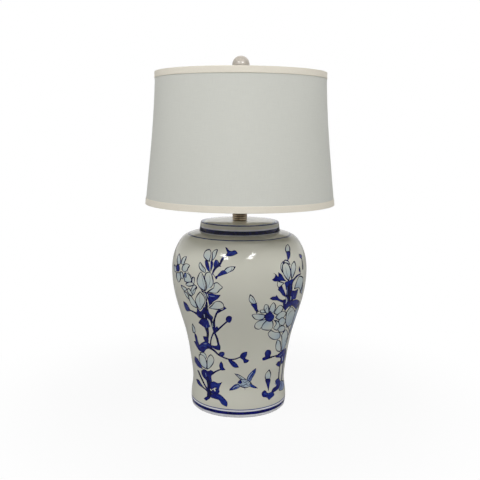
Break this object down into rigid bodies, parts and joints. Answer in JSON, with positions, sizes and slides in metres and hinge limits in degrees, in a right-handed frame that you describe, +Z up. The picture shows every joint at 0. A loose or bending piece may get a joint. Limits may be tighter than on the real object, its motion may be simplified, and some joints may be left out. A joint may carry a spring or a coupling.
{
  "type": "ginger jar table lamp",
  "caption": "Table lamp with a painted baluster ginger jar, a flat lid, a brass neck, a harp and a belled drum shade held by a ball finial.",
  "frame": {"origin": "centre of the foot on the surface that the lamp stands on", "axes": "+Z up along the lamp's axis, -Y to the front with the switch knob, X along the harp's plane"},
  "size_m": [0.4089, 0.409, 0.7616],
  "materials": {
    "glaze": "gloss glaze over cobalt painting",
    "felt": "dark green felt",
    "bushing_plastic": "brown moulded",
    "zinc_steel": "zinc plated",
    "antique_brass": "dark antique",
    "polished_brass": "satin brass",
    "plated_steel": "brass plated wire and strap",
    "liner_board": "brown insulating board",
    "phenolic": "black moulded",
    "terminal_brass": "bright",
    "screw_shell_aluminium": "rolled",
    "solder": "dull",
    "bulb_black_glass": "vitreous black",
    "bulb_aluminium": "rolled thread",
    "frosted_glass": "frosted",
    "linen": "fine linen weave",
    "styrene": "white backing",
    "bias_trim": "cream bias band",
    "white_wire": "white enamel",
    "finial_lacquer": "satin off-white lacquer"
  },
  "bodies": {
    "base": {"jar_body": "glaze", "jar_lid": "glaze", "felt_ring": "felt", "cord_bushing": "bushing_plastic", "threaded_pipe": "zinc_steel", "base_washer": "zinc_steel", "lock_washer": "zinc_steel", "base_nut": "zinc_steel", "neck_washer": "antique_brass", "neck": "antique_brass", "harp_saddle": "plated_steel", "saddle_nut": "zinc_steel", "socket_cap": "polished_brass", "socket_set_screw": "zinc_steel", "socket_shell": "polished_brass", "socket_liner": "liner_board", "socket_body": "phenolic", "terminal_screws": "terminal_brass", "screw_shell": "screw_shell_aluminium", "center_contact": "terminal_brass"},
    "switch": {"switch_shaft": "zinc_steel", "switch_knob": "phenolic"},
    "bulb": {"bulb_contact": "solder", "bulb_insulator": "bulb_black_glass", "bulb_base": "bulb_aluminium", "bulb_glass": "frosted_glass"},
    "harp": {"harp_bow": "plated_steel", "harp_stud": "polished_brass"},
    "ferrule_left": {"ferrule_left": "polished_brass"},
    "ferrule_right": {"ferrule_right": "polished_brass"},
    "shade": {"shade_fabric": "linen", "shade_liner": "styrene", "shade_top_trim": "bias_trim", "shade_bottom_trim": "bias_trim", "shade_top_ring": "white_wire", "spider_hub": "polished_brass", "shade_bottom_ring": "white_wire"},
    "finial": {"finial_insert": "polished_brass", "finial_ball": "finial_lacquer"}
  },
  "joints": [
    {"name": "switch_turn", "type": "hinge", "parent": "base", "child": "switch", "pos_m": [0, 0, 0.463], "axis": [0, -1, 0], "continuous": true},
    {"name": "bulb_lift", "type": "slide", "parent": "base", "child": "bulb", "axis": [0, 0, 1], "range_m": [0, 0.028]},
    {"name": "harp_lift", "type": "slide", "parent": "base", "child": "harp", "axis": [0, 0, 1], "range_m": [0, 0.02]},
    {"name": "ferrule_left_slide", "type": "slide", "parent": "harp", "child": "ferrule_left", "axis": [0, 0, 1], "range_m": [0, 0.014]},
    {"name": "ferrule_right_slide", "type": "slide", "parent": "harp", "child": "ferrule_right", "axis": [0, 0, 1], "range_m": [0, 0.014]},
    {"name": "shade_swivel", "type": "hinge", "parent": "harp", "child": "shade", "pos_m": [0, 0, 0.711], "axis": [0, 0, 1], "continuous": true},
    {"name": "finial_lift", "type": "slide", "parent": "shade", "child": "finial", "axis": [0, 0, 1], "range_m": [0, 0.014]}
  ]
}
